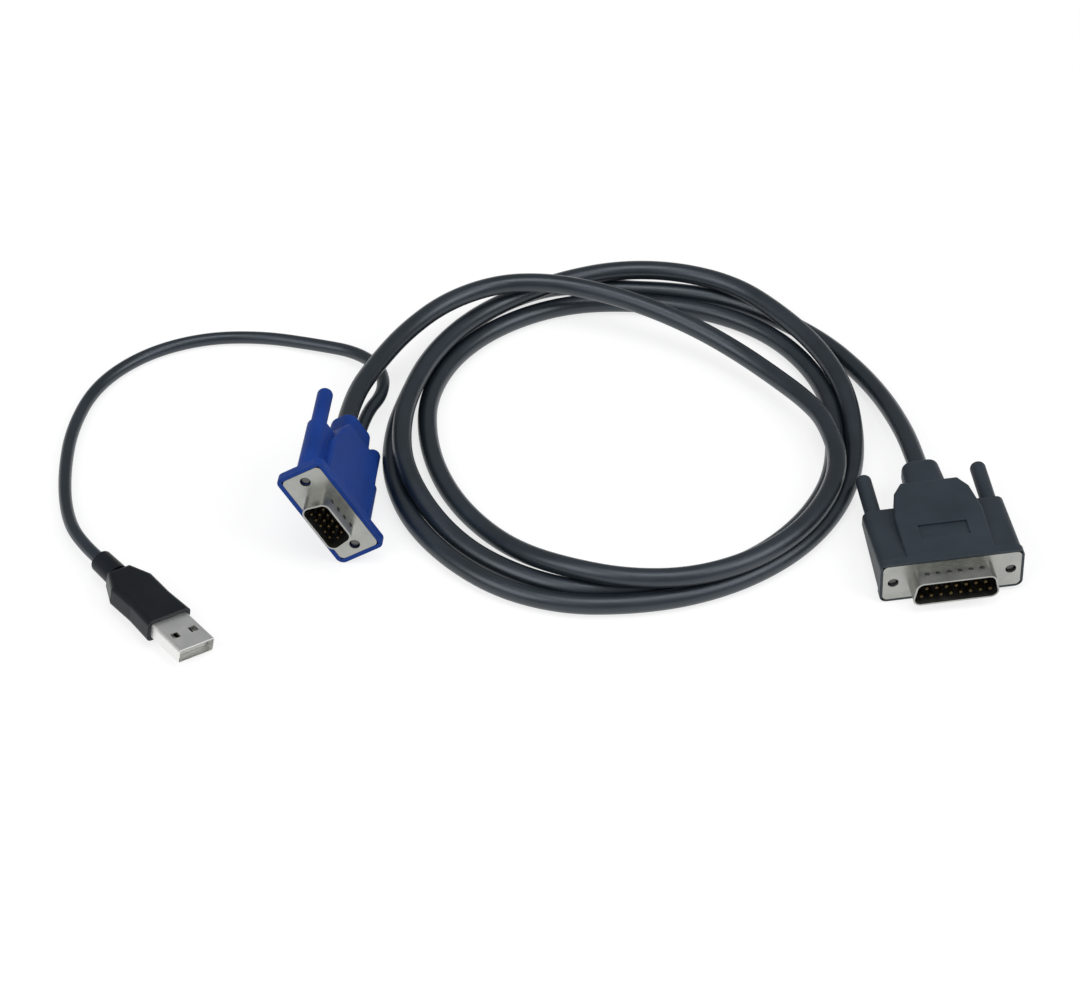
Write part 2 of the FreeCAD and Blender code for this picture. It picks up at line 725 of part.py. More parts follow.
doc.recompute()
parts = video_parts + host_parts + usb_parts + [coil] + cables
for thing in doc.Objects:
    if "Invalid" in thing.State or "Error" in thing.State:
        raise RuntimeError(f"{thing.Name} failed: {thing.State}")
for part in parts:
    if part.Shape.isNull() or not part.Shape.isValid():
        raise RuntimeError(f"{part.Label} has no valid shape")
for part in parts:
    part.Shape.exportStep(f"parts/{part.Label}.step")
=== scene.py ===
import json
import math
import bpy
from mathutils import Matrix, Vector


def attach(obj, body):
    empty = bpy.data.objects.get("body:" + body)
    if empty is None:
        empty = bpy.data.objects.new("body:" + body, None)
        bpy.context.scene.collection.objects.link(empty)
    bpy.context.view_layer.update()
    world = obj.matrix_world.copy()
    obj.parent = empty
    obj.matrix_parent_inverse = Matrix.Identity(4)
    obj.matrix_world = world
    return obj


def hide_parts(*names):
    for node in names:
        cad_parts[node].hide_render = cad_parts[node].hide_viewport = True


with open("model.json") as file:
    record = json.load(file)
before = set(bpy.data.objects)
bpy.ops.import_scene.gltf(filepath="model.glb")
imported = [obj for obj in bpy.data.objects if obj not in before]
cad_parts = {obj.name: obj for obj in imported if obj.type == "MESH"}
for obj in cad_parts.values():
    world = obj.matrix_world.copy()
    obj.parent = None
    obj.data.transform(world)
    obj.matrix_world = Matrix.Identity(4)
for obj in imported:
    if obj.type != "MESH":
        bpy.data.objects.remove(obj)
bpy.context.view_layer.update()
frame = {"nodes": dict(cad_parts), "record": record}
nodes = frame["nodes"]
scene = bpy.context.scene
scene.view_settings.view_transform = "Standard"
mm = 0.001
print("frame loaded,", len(nodes), "solids")


# the camera stands in front of the table and looks down on it
cameraSettings = {
    "place": (-0.0050, -0.7010, 0.6947),
    "tilt": 46.16,  # degrees up from straight down
    "lens": 116.33,
    "sensor": 36.0,
    "nearest": 0.05,
}


def addCamera(settings):
    data = bpy.data.cameras.new("tableCamera")
    data.lens = settings["lens"]
    data.sensor_fit = "HORIZONTAL"
    data.sensor_width = settings["sensor"]
    data.clip_start = settings["nearest"]
    camera = bpy.data.objects.new("tableCamera", data)
    camera.location = settings["place"]
    camera.rotation_euler = (math.radians(settings["tilt"]), 0.0, 0.0)
    scene.collection.objects.link(camera)
    scene.camera = camera


addCamera(cameraSettings)
print("camera in place")


# shader helpers

def addNode(tree, kind, place, **values):
    node = tree.nodes.new(kind)
    node.location = place
    for name, value in values.items():
        setattr(node, name, value)
    return node


def newGroup(name, inputs, outputs):
    group = bpy.data.node_groups.new(name, "ShaderNodeTree")
    for label, value in inputs:
        socket = group.interface.new_socket(label, in_out="INPUT", socket_type="NodeSocketFloat")
        socket.default_value = value
    for label in outputs:
        group.interface.new_socket(label, in_out="OUTPUT", socket_type="NodeSocketFloat")
    source = addNode(group, "NodeGroupInput", (-900, 0))
    result = addNode(group, "NodeGroupOutput", (700, 0))
    return group, source, result


def spread(tree, place, low, high, toLow=0.0, toHigh=1.0):
    node = addNode(tree, "ShaderNodeMapRange", place)
    node.inputs["From Min"].default_value = low
    node.inputs["From Max"].default_value = high
    node.inputs["To Min"].default_value = toLow
    node.inputs["To Max"].default_value = toHigh
    return node


# fine moulded grain for bump, and slow clouds for tone
grainSettings = {
    "grain": 2600.0,
    "grainDetail": 2.0,
    "cloud": 70.0,
    "cloudDetail": 4.0,
    "cloudRoughness": 0.6,
    "toneRange": (0.32, 0.68),
}


def makeGrainGroup(settings):
    group, source, result = newGroup(
        "mouldedGrain",
        [("Grain", settings["grain"]), ("Cloud", settings["cloud"])],
        ["Height", "Tone"],
    )
    links = group.links
    place = addNode(group, "ShaderNodeTexCoord", (-900, -250))
    fine = addNode(group, "ShaderNodeTexNoise", (-600, 200))
    fine.inputs["Detail"].default_value = settings["grainDetail"]
    slow = addNode(group, "ShaderNodeTexNoise", (-600, -200))
    slow.inputs["Detail"].default_value = settings["cloudDetail"]
    slow.inputs["Roughness"].default_value = settings["cloudRoughness"]
    tone = spread(group, (-300, -200), *settings["toneRange"])
    links.new(place.outputs["Object"], fine.inputs["Vector"])
    links.new(place.outputs["Object"], slow.inputs["Vector"])
    links.new(source.outputs["Grain"], fine.inputs["Scale"])
    links.new(source.outputs["Cloud"], slow.inputs["Scale"])
    links.new(slow.outputs["Fac"], tone.inputs["Value"])
    links.new(fine.outputs["Fac"], result.inputs["Height"])
    links.new(tone.outputs["Result"], result.inputs["Tone"])
    return group


# rubbed edges: where the rounded normal leaves the flat one
edgeSettings = {
    "width": 0.0006,
    "samples": 4,
    "leanRange": (0.995, 0.86),  # cosine between the two normals
    "broken": 420.0,
    "brokenDetail": 3.0,
    "brokenRange": (0.38, 0.62),
    "brokenKeeps": (0.35, 1.0),
}


def makeEdgeGroup(settings):
    group, source, result = newGroup(
        "rubbedEdges",
        [("Width", settings["width"]), ("Broken", settings["broken"])],
        ["Mask"],
    )
    links = group.links
    place = addNode(group, "ShaderNodeTexCoord", (-900, -300))
    surface = addNode(group, "ShaderNodeNewGeometry", (-900, 300))
    rounded = addNode(group, "ShaderNodeBevel", (-600, 200), samples=settings["samples"])
    dot = addNode(group, "ShaderNodeVectorMath", (-400, 200), operation="DOT_PRODUCT")
    edge = spread(group, (-200, 200), *settings["leanRange"])
    patch = addNode(group, "ShaderNodeTexNoise", (-600, -200))
    patch.inputs["Detail"].default_value = settings["brokenDetail"]
    broken = spread(group, (-300, -200), *settings["brokenRange"], *settings["brokenKeeps"])
    both = addNode(group, "ShaderNodeMath", (200, 0), operation="MULTIPLY")
    links.new(source.outputs["Width"], rounded.inputs["Radius"])
    links.new(rounded.outputs["Normal"], dot.inputs[0])
    links.new(surface.outputs["Normal"], dot.inputs[1])
    links.new(dot.outputs["Value"], edge.inputs["Value"])
    links.new(place.outputs["Object"], patch.inputs["Vector"])
    links.new(source.outputs["Broken"], patch.inputs["Scale"])
    links.new(patch.outputs["Fac"], broken.inputs["Value"])
    links.new(edge.outputs["Result"], both.inputs[0])
    links.new(broken.outputs["Result"], both.inputs[1])
    links.new(both.outputs["Value"], result.inputs["Mask"])
    return group


# handling scuffs: small broken patches
scuffSettings = {
    "patch": 160.0,
    "patchDetail": 3.0,
    "patchRange": (0.55, 0.70),
    "fleck": 1500.0,
    "fleckDetail": 2.0,
    "fleckRange": (0.50, 0.66),
}


def makeScuffGroup(settings):
    group, source, result = newGroup(
        "handlingScuffs",
        [("Patch", settings["patch"]), ("Fleck", settings["fleck"])],
        ["Mask"],
    )
    links = group.links
    place = addNode(group, "ShaderNodeTexCoord", (-900, -300))
    wide = addNode(group, "ShaderNodeTexNoise", (-600, 200))
    wide.inputs["Detail"].default_value = settings["patchDetail"]
    fleck = addNode(group, "ShaderNodeTexNoise", (-600, -200))
    fleck.inputs["Detail"].default_value = settings["fleckDetail"]
    wideMask = spread(group, (-300, 200), *settings["patchRange"])
    fleckMask = spread(group, (-300, -200), *settings["fleckRange"])
    both = addNode(group, "ShaderNodeMath", (100, 0), operation="MULTIPLY")
    links.new(place.outputs["Object"], wide.inputs["Vector"])
    links.new(place.outputs["Object"], fleck.inputs["Vector"])
    links.new(source.outputs["Patch"], wide.inputs["Scale"])
    links.new(source.outputs["Fleck"], fleck.inputs["Scale"])
    links.new(wide.outputs["Fac"], wideMask.inputs["Value"])
    links.new(fleck.outputs["Fac"], fleckMask.inputs["Value"])
    links.new(wideMask.outputs["Result"], both.inputs[0])
    links.new(fleckMask.outputs["Result"], both.inputs[1])
    links.new(both.outputs["Value"], result.inputs["Mask"])
    return group


mouldedGrain = makeGrainGroup(grainSettings)
rubbedEdges = makeEdgeGroup(edgeSettings)
handlingScuffs = makeScuffGroup(scuffSettings)
print("shared finishes built")


def placeGroup(tree, group, place, **values):
    node = addNode(tree, "ShaderNodeGroup", place, node_tree=group)
    for name, value in values.items():
        node.inputs[name].default_value = value
    return node


# inputs 6 and 7 and output 2 of the mix node are its colours
def mixColour(tree, place, first, second):
    node = addNode(tree, "ShaderNodeMix", place, data_type="RGBA", clamp_factor=True)
    for socket, value in ((node.inputs[6], first), (node.inputs[7], second)):
        if value is not None:
            socket.default_value = (*value, 1.0)
    return node


def newMaterial(name):
    material = bpy.data.materials.new(name)
    material.use_nodes = True
    tree = material.node_tree
    tree.nodes.clear()
    output = addNode(tree, "ShaderNodeOutputMaterial", (900, 0))
    shader = addNode(tree, "ShaderNodeBsdfPrincipled", (600, 0))
    tree.links.new(shader.outputs["BSDF"], output.inputs["Surface"])
    return material, tree, shader


# clouds and scuffs set the roughness, and the fine grain the bump
def addRelief(tree, shader, grain, scuffs, settings, relief):
    links = tree.links
    low = settings["roughness"] - relief["roughSpread"]
    high = settings["roughness"] + relief["roughSpread"]
    rough = spread(tree, (-200, -350), 0.0, 1.0, low, high)
    rougher = addNode(tree, "ShaderNodeMath", (50, -350), operation="MULTIPLY_ADD")
    rougher.inputs[1].default_value = relief["scuffRough"]
    bump = addNode(tree, "ShaderNodeBump", (300, -300))
    bump.inputs["Strength"].default_value = settings["bump"]
    bump.inputs["Distance"].default_value = relief["grainDepth"]
    links.new(grain.outputs["Tone"], rough.inputs["Value"])
    links.new(scuffs.outputs["Mask"], rougher.inputs[0])
    links.new(rough.outputs["Result"], rougher.inputs[2])
    links.new(rougher.outputs["Value"], shader.inputs["Roughness"])
    links.new(grain.outputs["Height"], bump.inputs["Height"])
    links.new(bump.outputs["Normal"], shader.inputs["Normal"])


plasticRelief = {"roughSpread": 0.05, "scuffRough": 0.14, "grainDepth": 0.00006}
metalRelief = {"roughSpread": 0.06, "scuffRough": 0.16, "grainDepth": 0.00002}


def makePlastic(name, settings):
    material, tree, shader = newMaterial(name)
    links = tree.links
    shader.inputs["Specular IOR Level"].default_value = settings["specular"]
    shader.inputs["Specular Tint"].default_value = (*settings["sheen"], 1.0)
    grain = placeGroup(tree, mouldedGrain, (-600, 0), Grain=settings["grain"], Cloud=settings["cloud"])
    edges = placeGroup(tree, rubbedEdges, (-600, -250), Width=settings["edgeWidth"])
    scuffs = placeGroup(tree, handlingScuffs, (-600, -450))
    tone = mixColour(tree, (-200, 200), settings["deep"], settings["fresh"])
    worn = mixColour(tree, (50, 200), None, settings["rubbed"])
    wear = addNode(tree, "ShaderNodeMath", (-200, -150), operation="MULTIPLY")
    wear.inputs[1].default_value = settings["edgeWear"]
    links.new(grain.outputs["Tone"], tone.inputs[0])
    links.new(edges.outputs["Mask"], wear.inputs[0])
    links.new(wear.outputs["Value"], worn.inputs[0])
    links.new(tone.outputs[2], worn.inputs[6])
    links.new(worn.outputs[2], shader.inputs["Base Color"])
    addRelief(tree, shader, grain, scuffs, settings, plasticRelief)
    return material


def makeMetal(name, settings):
    material, tree, shader = newMaterial(name)
    links = tree.links
    shader.inputs["Metallic"].default_value = 1.0
    grain = placeGroup(tree, mouldedGrain, (-600, 0), Grain=settings["grain"], Cloud=settings["cloud"])
    scuffs = placeGroup(tree, handlingScuffs, (-600, -300), Patch=settings["patch"])
    tone = mixColour(tree, (-200, 200), settings["deep"], settings["fresh"])
    links.new(grain.outputs["Tone"], tone.inputs[0])
    links.new(tone.outputs[2], shader.inputs["Base Color"])
    addRelief(tree, shader, grain, scuffs, settings, metalRelief)
    return material


plasticSettings = {
    "bluePlastic": {
        "deep": (0.007, 0.036, 0.205), "fresh": (0.012, 0.052, 0.280), "rubbed": (0.060, 0.095, 0.250),
        "roughness": 0.50, "specular": 0.12, "sheen": (1.0, 1.0, 1.0), "grain": 2400.0, "cloud": 80.0,
        "bump": 0.25, "edgeWidth": 0.0007, "edgeWear": 0.55,
    },
    "slatePlastic": {
        "deep": (0.021, 0.030, 0.039), "fresh": (0.029, 0.039, 0.050), "rubbed": (0.070, 0.080, 0.092),
        "roughness": 0.50, "specular": 0.30, "sheen": (1.0, 1.0, 1.0), "grain": 2200.0, "cloud": 70.0,
        "bump": 0.30, "edgeWidth": 0.0007, "edgeWear": 0.35,
    },
    "blackPlastic": {
        "deep": (0.003, 0.0042, 0.006), "fresh": (0.006, 0.0078, 0.011), "rubbed": (0.035, 0.040, 0.047),
        "roughness": 0.42, "specular": 0.32, "sheen": (0.84, 0.92, 1.0), "grain": 2600.0, "cloud": 90.0,
        "bump": 0.25, "edgeWidth": 0.0006, "edgeWear": 0.30,
    },
    "insulatorPlastic": {
        "deep": (0.004, 0.004, 0.0045), "fresh": (0.007, 0.007, 0.008), "rubbed": (0.016, 0.016, 0.018),
        "roughness": 0.55, "specular": 0.25, "sheen": (1.0, 1.0, 1.0), "grain": 3000.0, "cloud": 120.0,
        "bump": 0.20, "edgeWidth": 0.0003, "edgeWear": 0.25,
    },
    "tonguePlastic": {
        "deep": (0.68, 0.68, 0.65), "fresh": (0.78, 0.78, 0.75), "rubbed": (0.82, 0.82, 0.80),
        "roughness": 0.45, "specular": 0.40, "sheen": (1.0, 1.0, 1.0), "grain": 3000.0, "cloud": 140.0,
        "bump": 0.15, "edgeWidth": 0.0003, "edgeWear": 0.20,
    },
    "cableJacket": {
        "deep": (0.0065, 0.0105, 0.0150), "fresh": (0.0125, 0.0188, 0.0262), "rubbed": (0.050, 0.055, 0.063),
        "roughness": 0.35, "specular": 0.80, "sheen": (0.84, 0.92, 1.0), "grain": 1900.0, "cloud": 55.0,
        "bump": 0.35, "edgeWidth": 0.0004, "edgeWear": 0.20,
    },
}

metalSettings = {
    "nickelSheet": {
        "deep": (0.34, 0.345, 0.322), "fresh": (0.43, 0.435, 0.408),
        "roughness": 0.33, "grain": 3800.0, "cloud": 150.0, "patch": 260.0, "bump": 0.20,
    },
    # paler copy of the nickel: painted highlight for the sleeve's up-facing top
    "litSleeveSheet": {
        "deep": (0.80, 0.80, 0.78), "fresh": (0.90, 0.90, 0.88),
        "roughness": 0.40, "grain": 3800.0, "cloud": 150.0, "patch": 260.0, "bump": 0.20,
    },
    # nickel darkened for the dimples: painted shade in the dishes
    "dimpleShadeNickel": {
        "deep": (0.07, 0.07, 0.066), "fresh": (0.12, 0.12, 0.112),
        "roughness": 0.46, "grain": 3800.0, "cloud": 300.0, "patch": 260.0, "bump": 0.20,
    },
    # steel darkened far below bare steel: painted shade of the screw tips deep in the flange holes
    "shadedScrewSteel": {
        "deep": (0.10, 0.10, 0.10), "fresh": (0.16, 0.16, 0.157),
        "roughness": 0.34, "grain": 3200.0, "cloud": 200.0, "patch": 320.0, "bump": 0.25,
    },
    # gold darkened far below bright plating: painted shade of the pins deep in the dark D openings
    "shadedContactGold": {
        "deep": (0.060, 0.042, 0.018), "fresh": (0.095, 0.068, 0.028),
        "roughness": 0.44, "grain": 4200.0, "cloud": 260.0, "patch": 400.0, "bump": 0.15,
    },
}

finishes = {name: makePlastic(name, settings) for name, settings in plasticSettings.items()}
finishes.update({name: makeMetal(name, settings) for name, settings in metalSettings.items()})

# which finish each slot of the record gets
slotFinish = {
    "blue_plastic": "bluePlastic",
    "slate_plastic": "slatePlastic",
    "black_plastic": "blackPlastic",
    "insulator_plastic": "insulatorPlastic",
    "tongue_plastic": "tonguePlastic",
    "cable_jacket": "cableJacket",
    "nickel": "nickelSheet",
    "screw_steel": "shadedScrewSteel",
    "contact_gold": "shadedContactGold",
}
nodeFinish = {"usb_shell": "litSleeveSheet"}  # the sleeve is painted paler than the flanges' nickel: a painted highlight on its up-facing top
for part in frame["record"]["subparts"]:
    solid = nodes[part["node"]]
    solid.data.materials.clear()
    finish = nodeFinish.get(part["node"], slotFinish[part["material_slot"]])
    solid.data.materials.append(finishes[finish])
print("finishes on", len(nodes), "solids")


# cords, routes in millimetres on the table

def addCord(name, route, settings):
    curve = bpy.data.curves.new(name, "CURVE")
    curve.dimensions = "3D"
    curve.resolution_u = settings["steps"]
    curve.bevel_depth = settings["diameter"] / 2
    curve.bevel_resolution = settings["sides"]
    curve.use_fill_caps = True
    spline = curve.splines.new("NURBS")
    spline.points.add(len(route) - 1)
    for knot, point in zip(spline.points, route):
        knot.co = (point[0] * mm, point[1] * mm, point[2] * mm, 1.0)
    spline.order_u = settings["order"]
    spline.use_endpoint_u = True
    piece = bpy.data.objects.new(name, curve)
    scene.collection.objects.link(piece)
    curve.materials.append(finishes["cableJacket"])
    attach(piece, "cable")
    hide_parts(*settings["standsFor"])


mainCableSettings = {
    "diameter": 0.0057,
    "length": 1.45,
    "lay": "coiled",
    "order": 3,
    "steps": 10,
    "sides": 6,
    "standsFor": ("main_cable_coil", "main_cable_video_lead", "main_cable_host_lead"),
    # from the slate plug's collar to the table
    "hostRoute": [
        (103.8, 28.1, 7.7), (102.0, 40.0, 7.3), (99.2, 52.0, 5.8), (95.6, 63.6, 4.2),
        (90.2, 75.2, 3.0), (81.6, 87.4, 2.9), (70.2, 97.8, 2.9),
    ],
    # the turns: angle about the middle in degrees, radius, height
    "middle": (19.5, 47.5),
    "turnStep": 15,
    "turns": [
        (60, 69.4, 2.9), (75, 66.6, 2.9), (90, 65.4, 2.9), (105, 70.4, 2.9), (120, 69.6, 2.9),
        (135, 67.4, 2.9), (150, 66.2, 2.9), (165, 65.2, 2.9), (180, 67.0, 2.9), (195, 69.0, 2.9),
        (210, 70.4, 2.9), (225, 71.0, 2.9), (240, 71.7, 2.9), (255, 70.8, 2.9), (270, 68.5, 2.9),
        (285, 67.6, 2.9), (300, 67.2, 2.9), (315, 67.3, 2.9), (345, 67.4, 2.9), (360, 67.0, 3.3),
        (375, 67.2, 6.4), (390, 66.8, 8.0), (405, 67.2, 8.5), (420, 69.8, 8.6), (435, 69.6, 8.6),
        (450, 68.0, 8.7), (465, 65.6, 8.5), (480, 64.7, 7.7), (495, 64.2, 7.9), (510, 63.6, 8.1),
        (525, 63.4, 8.3), (540, 64.4, 8.2), (555, 65.6, 7.7), (570, 64.8, 4.5), (585, 64.6, 2.9),
        (600, 64.6, 2.9), (615, 64.6, 2.9), (630, 62.8, 2.9), (645, 61.9, 2.9), (675, 61.7, 2.9),
        (705, 61.8, 2.9), (720, 61.3, 2.9), (735, 62.7, 2.9), (750, 63.1, 2.9), (765, 63.1, 2.9),
        (780, 61.7, 2.9), (795, 59.9, 2.9), (810, 59.6, 2.9), (825, 60.4, 2.9), (840, 60.6, 2.9),
        (855, 60.8, 2.9), (870, 60.4, 2.9), (885, 59.2, 2.9), (900, 57.0, 2.9), (915, 55.8, 2.9),
        (930, 55.6, 2.9), (945, 56.0, 3.0), (960, 58.7, 5.4), (975, 61.6, 8.2), (990, 64.2, 8.8),
        (1005, 65.9, 8.6), (1020, 66.6, 8.6), (1035, 66.4, 8.6), (1050, 65.4, 8.6), (1070, 62.8, 8.6),
    ],
    # over the coil, sagging where nothing carries it, and into the blue plug's collar
    "videoRoute": [
        (78.3, 47.8, 8.6), (72.8, 57.8, 8.0), (64.8, 68.2, 7.2), (54.6, 78.4, 7.9), (42.0, 87.3, 10.0),
        (27.0, 94.5, 12.5), (12.0, 99.6, 14.2), (-3.0, 102.6, 15.0), (-18.0, 101.6, 15.2),
        (-33.0, 94.2, 14.6), (-44.4, 82.0, 13.9), (-52.8, 68.0, 13.4), (-59.4, 52.6, 13.7),
        (-60.8, 39.5, 15.0),
    ],
}


# the turns swing round the middle and change size from one to the next
def coilPoints(settings):
    points = []
    turns = settings["turns"]
    # the cord runs inside its points, so they stand further out
    outward = 1 / math.cos(math.radians(settings["turnStep"] / 2))
    for angle in range(turns[0][0], turns[-1][0] + 1, settings["turnStep"]):
        for before, after in zip(turns, turns[1:]):
            if before[0] <= angle <= after[0]:
                share = (angle - before[0]) / (after[0] - before[0])
                radius = (before[1] + (after[1] - before[1]) * share) * outward
                height = before[2] + (after[2] - before[2]) * share
                break
        turn = math.radians(angle)
        points.append((
            settings["middle"][0] + radius * math.cos(turn),
            settings["middle"][1] + radius * math.sin(turn),
            height,
        ))
    return points


mainRoute = mainCableSettings["hostRoute"] + coilPoints(mainCableSettings) + mainCableSettings["videoRoute"]
addCord("mainCable", mainRoute, mainCableSettings)

usbLeadSettings = {
    "diameter": 0.0038,
    "length": 0.214,
    "lay": "loose",
    "order": 3,
    "steps": 12,
    "sides": 5,
    "standsFor": ("usb_lead",),
    "route": [
        (-57.6, 38.8, 9.8), (-56.0, 50.6, 8.5), (-50.9, 61.4, 7.2), (-51.8, 73.8, 5.4),
        (-59.6, 83.8, 3.4), (-72.0, 88.6, 2.2), (-89.0, 92.6, 1.9), (-107.0, 91.8, 1.9),
        (-124.0, 84.4, 1.9), (-136.8, 70.6, 1.9), (-142.2, 52.0, 1.9), (-142.6, 33.0, 1.9),
        (-140.4, 16.0, 2.4), (-135.4, 2.6, 4.2), (-128.5, -5.6, 4.7),
    ],
}
addCord("usbLead", usbLeadSettings["route"], usbLeadSettings)
print("cords laid")


# pressed dimples along both long sides of each skirt
dimpleSettings = {
    "dishRadius": 0.00004,
    "rimRadius": 0.00055,
    "footRadius": 0.00075,
    "height": 0.00016,
    "sides": 14,
    "weld": 0.000005,
    "pitch": 0.0031,
    "fromFlange": 0.0024,
    "skirtHalfHeight": 0.00418,
    # middle of the flange in millimetres, and how the plug lies in degrees
    "plugs": {
        "video": {"count": 4, "front": (-63.6, -0.3, 17.62), "yaw": -95.0, "lift": 5.4, "roll": -58.0},
        "host": {"count": 6, "front": (109.6, -15.0, 7.68), "yaw": -82.3, "lift": 0.0, "roll": 2.0},
    },
}


def makeDimpleTree(settings):
    tree = bpy.data.node_groups.new("pressedDimples", "GeometryNodeTree")
    face = tree.interface
    face.new_socket("Geometry", in_out="INPUT", socket_type="NodeSocketGeometry")
    for label, kind in (
        ("Count", "NodeSocketInt"), ("Pitch", "NodeSocketFloat"), ("Rim Radius", "NodeSocketFloat"),
        ("Foot Radius", "NodeSocketFloat"), ("Height", "NodeSocketFloat"), ("Sides", "NodeSocketInt"),
        ("Finish", "NodeSocketMaterial"),
    ):
        face.new_socket(label, in_out="INPUT", socket_type=kind)
    face.new_socket("Geometry", in_out="OUTPUT", socket_type="NodeSocketGeometry")
    links = tree.links
    source = addNode(tree, "NodeGroupInput", (-1200, 0))
    result = addNode(tree, "NodeGroupOutput", (1200, 0))
    step = addNode(tree, "ShaderNodeCombineXYZ", (-900, 300))
    row = addNode(tree, "GeometryNodeMeshLine", (-600, 300), mode="OFFSET")
    # rim slope outside, dish inside
    slope = addNode(tree, "GeometryNodeMeshCone", (-900, 0), fill_type="NONE")
    dish = addNode(tree, "GeometryNodeMeshCone", (-900, -300), fill_type="NONE")
    dish.inputs["Radius Bottom"].default_value = settings["dishRadius"]
    turned = addNode(tree, "GeometryNodeFlipFaces", (-600, -300))
    joined = addNode(tree, "GeometryNodeJoinGeometry", (-400, -100))
    merged = addNode(tree, "GeometryNodeMergeByDistance", (-200, -100))
    merged.inputs["Distance"].default_value = settings["weld"]
    smooth = addNode(tree, "GeometryNodeSetShadeSmooth", (0, -100))
    placed = addNode(tree, "GeometryNodeInstanceOnPoints", (300, 100))
    real = addNode(tree, "GeometryNodeRealizeInstances", (600, 100))
    finish = addNode(tree, "GeometryNodeSetMaterial", (900, 100))
    links.new(source.outputs["Pitch"], step.inputs["X"])
    links.new(source.outputs["Count"], row.inputs["Count"])
    links.new(step.outputs["Vector"], row.inputs["Offset"])
    for cone in (slope, dish):
        links.new(source.outputs["Sides"], cone.inputs["Vertices"])
        links.new(source.outputs["Rim Radius"], cone.inputs["Radius Top"])
        links.new(source.outputs["Height"], cone.inputs["Depth"])
    links.new(source.outputs["Foot Radius"], slope.inputs["Radius Bottom"])
    links.new(dish.outputs["Mesh"], turned.inputs["Mesh"])
    links.new(slope.outputs["Mesh"], joined.inputs["Geometry"])
    links.new(turned.outputs["Mesh"], joined.inputs["Geometry"])
    links.new(joined.outputs["Geometry"], merged.inputs["Geometry"])
    links.new(merged.outputs["Geometry"], smooth.inputs["Geometry"])
    links.new(row.outputs["Mesh"], placed.inputs["Points"])
    links.new(smooth.outputs["Geometry"], placed.inputs["Instance"])
    links.new(placed.outputs["Instances"], real.inputs["Geometry"])
    links.new(real.outputs["Geometry"], finish.inputs["Geometry"])
    links.new(source.outputs["Finish"], finish.inputs["Material"])
    links.new(finish.outputs["Geometry"], result.inputs["Geometry"])
    return tree


# X along the skirt, Y across it and Z out of the plug
def plugMatrix(plug):
    turn = (
        Matrix.Rotation(math.radians(plug["yaw"] + 90), 4, "Z")
        @ Matrix.Rotation(math.radians(90 - plug["lift"]), 4, "X")
        @ Matrix.Rotation(math.radians(plug["roll"]), 4, "Z")
    )
    return Matrix.Translation(Vector(plug["front"]) * mm) @ turn


def addDimples(name, tree, plug, side, settings):
    mesh = bpy.data.meshes.new(name)
    piece = bpy.data.objects.new(name, mesh)
    scene.collection.objects.link(piece)
    modifier = piece.modifiers.new("dimples", "NODES")
    modifier.node_group = tree
    values = {
        "Count": plug["count"],
        "Pitch": settings["pitch"],
        "Rim Radius": settings["rimRadius"],
        "Foot Radius": settings["footRadius"],
        "Height": settings["height"],
        "Sides": settings["sides"],
        # the dimples take the darker nickel, painted shade in the dishes
        "Finish": finishes["dimpleShadeNickel"],
    }
    for item in tree.interface.items_tree:
        if item.in_out == "INPUT" and item.name in values:
            modifier[item.identifier] = values[item.name]
    shown = bpy.context.evaluated_depsgraph_get()
    made = bpy.data.meshes.new_from_object(piece.evaluated_get(shown))
    piece.modifiers.remove(modifier)
    piece.data = made
    # the row lies along the skirt, its dishes open away from the skirt's middle
    start = -settings["pitch"] * (plug["count"] - 1) / 2
    made.transform(Matrix.Translation((start, 0.0, 0.0)))
    made.transform(Matrix.Rotation(math.radians(-90 * side), 4, "X"))
    made.transform(Matrix.Translation((0.0, side * settings["skirtHalfHeight"], settings["fromFlange"])))
    made.transform(plugMatrix(plug))
    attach(piece, "cable")


dimpleTree = makeDimpleTree(dimpleSettings)
for plugName, plug in dimpleSettings["plugs"].items():
    for label, side in (("Upper", 1), ("Lower", -1)):
        addDimples(plugName + label + "Dimples", dimpleTree, plug, side, dimpleSettings)
print("skirt dimples pressed")


# white table, which keeps a faint shadow
floorSettings = {
    "halfWidth": 3.0,
    "drop": 0.0002,  # below the cable, so that no faces meet
    "albedo": 0.80,
    "shadowPart": 0.32,  # share of the shown white that a shadow can take away
    "glow": 0.74,
}


def grey(value):
    return (value, value, value, 1.0)


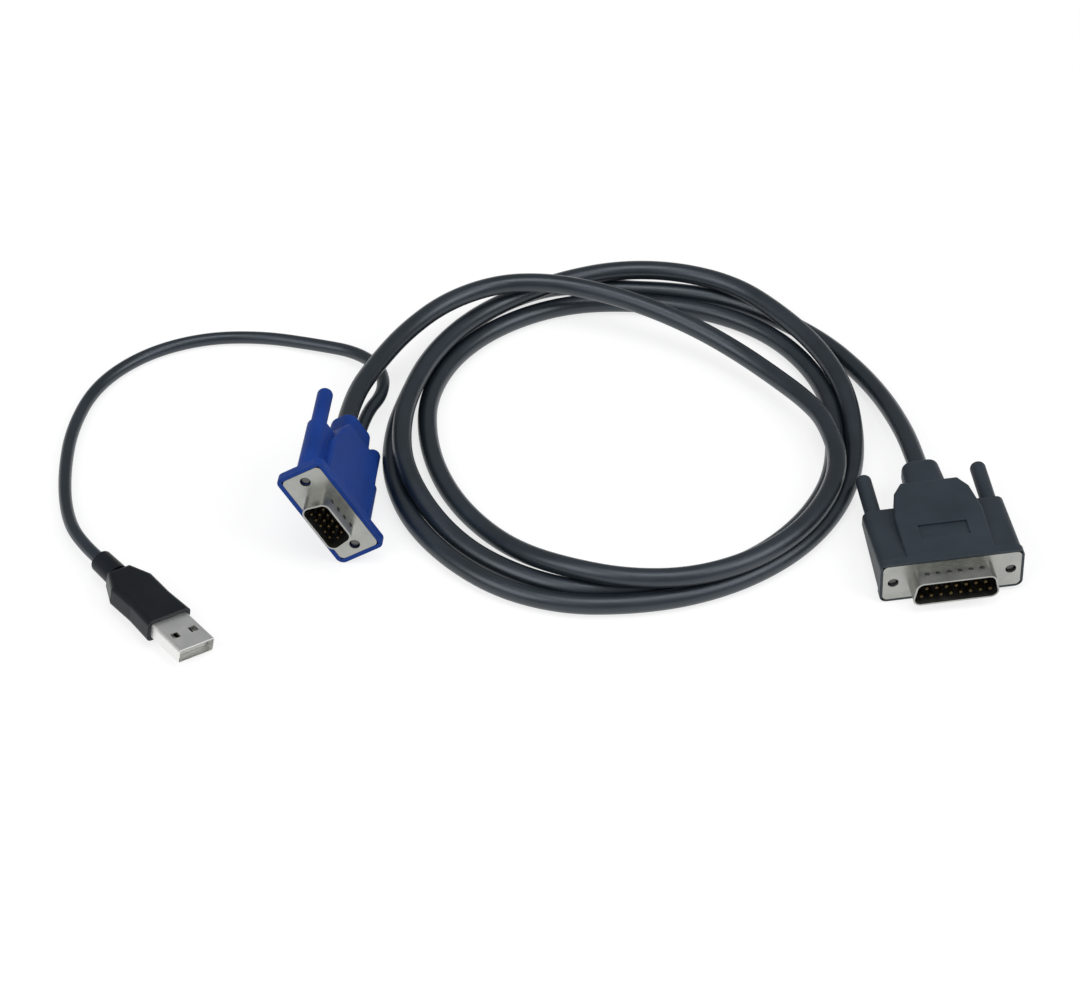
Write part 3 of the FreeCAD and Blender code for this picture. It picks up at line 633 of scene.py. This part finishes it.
def makeFloorFinish(settings):
    material = bpy.data.materials.new("whiteTable")
    material.use_nodes = True
    tree = material.node_tree
    tree.nodes.clear()
    links = tree.links
    output = addNode(tree, "ShaderNodeOutputMaterial", (900, 0))
    plain = addNode(tree, "ShaderNodeBsdfDiffuse", (0, 200))
    plain.inputs["Color"].default_value = grey(settings["albedo"])
    shaded = addNode(tree, "ShaderNodeBsdfDiffuse", (0, 0))
    shaded.inputs["Color"].default_value = grey(settings["shadowPart"])
    glow = addNode(tree, "ShaderNodeEmission", (0, -200))
    glow.inputs["Strength"].default_value = settings["glow"]
    shown = addNode(tree, "ShaderNodeAddShader", (300, -100))
    rays = addNode(tree, "ShaderNodeLightPath", (-300, 400))
    seen = addNode(tree, "ShaderNodeMath", (0, 500), operation="MAXIMUM")
    seenAll = addNode(tree, "ShaderNodeMath", (300, 400), operation="MAXIMUM")
    mix = addNode(tree, "ShaderNodeMixShader", (600, 0))
    links.new(shaded.outputs["BSDF"], shown.inputs[0])
    links.new(glow.outputs["Emission"], shown.inputs[1])
    links.new(rays.outputs["Is Camera Ray"], seen.inputs[0])
    links.new(rays.outputs["Is Glossy Ray"], seen.inputs[1])
    links.new(seen.outputs["Value"], seenAll.inputs[0])
    links.new(rays.outputs["Is Transmission Ray"], seenAll.inputs[1])
    links.new(seenAll.outputs["Value"], mix.inputs["Fac"])
    links.new(plain.outputs["BSDF"], mix.inputs[1])
    links.new(shown.outputs["Shader"], mix.inputs[2])
    links.new(mix.outputs["Shader"], output.inputs["Surface"])
    return material


def addFloor(settings):
    half = settings["halfWidth"]
    mesh = bpy.data.meshes.new("whiteTable")
    corners = [(-half, -half, 0), (half, -half, 0), (half, half, 0), (-half, half, 0)]
    mesh.from_pydata(corners, [], [(0, 1, 2, 3)])
    floor = bpy.data.objects.new("whiteTable", mesh)
    floor.location.z = -settings["drop"]
    mesh.materials.append(makeFloorFinish(settings))
    scene.collection.objects.link(floor)


addFloor(floorSettings)

worldSettings = {"colour": (0.97, 0.985, 1.0), "strength": 0.32}
world = bpy.data.worlds.new("paleRoom")
scene.world = world
world.use_nodes = True
room = world.node_tree.nodes["Background"]
room.inputs["Color"].default_value = (*worldSettings["colour"], 1.0)
room.inputs["Strength"].default_value = worldSettings["strength"]

lampAim = (0.0, 0.03, 0.0)
lampSettings = {
    "leftSoftbox": {"place": (-0.70, -0.55, 0.80), "size": (0.8, 0.8), "power": 4.9},
    "rightSoftbox": {"place": (0.75, -0.30, 0.80), "size": (0.7, 0.7), "power": 4.6},
    "topSoftbox": {"place": (0.05, -0.12, 1.20), "size": (0.6, 0.6), "power": 3.5},
}


def addLamp(name, settings):
    data = bpy.data.lights.new(name, "AREA")
    data.shape = "RECTANGLE"
    data.size = settings["size"][0]
    data.size_y = settings["size"][1]
    data.energy = settings["power"]
    lamp = bpy.data.objects.new(name, data)
    lamp.location = settings["place"]
    aim = Vector(lampAim) - Vector(settings["place"])
    lamp.rotation_euler = aim.to_track_quat("-Z", "Y").to_euler()
    scene.collection.objects.link(lamp)


for lampName, lamp in lampSettings.items():
    addLamp(lampName, lamp)
print("table and lamps set")


bpy.context.view_layer.update()
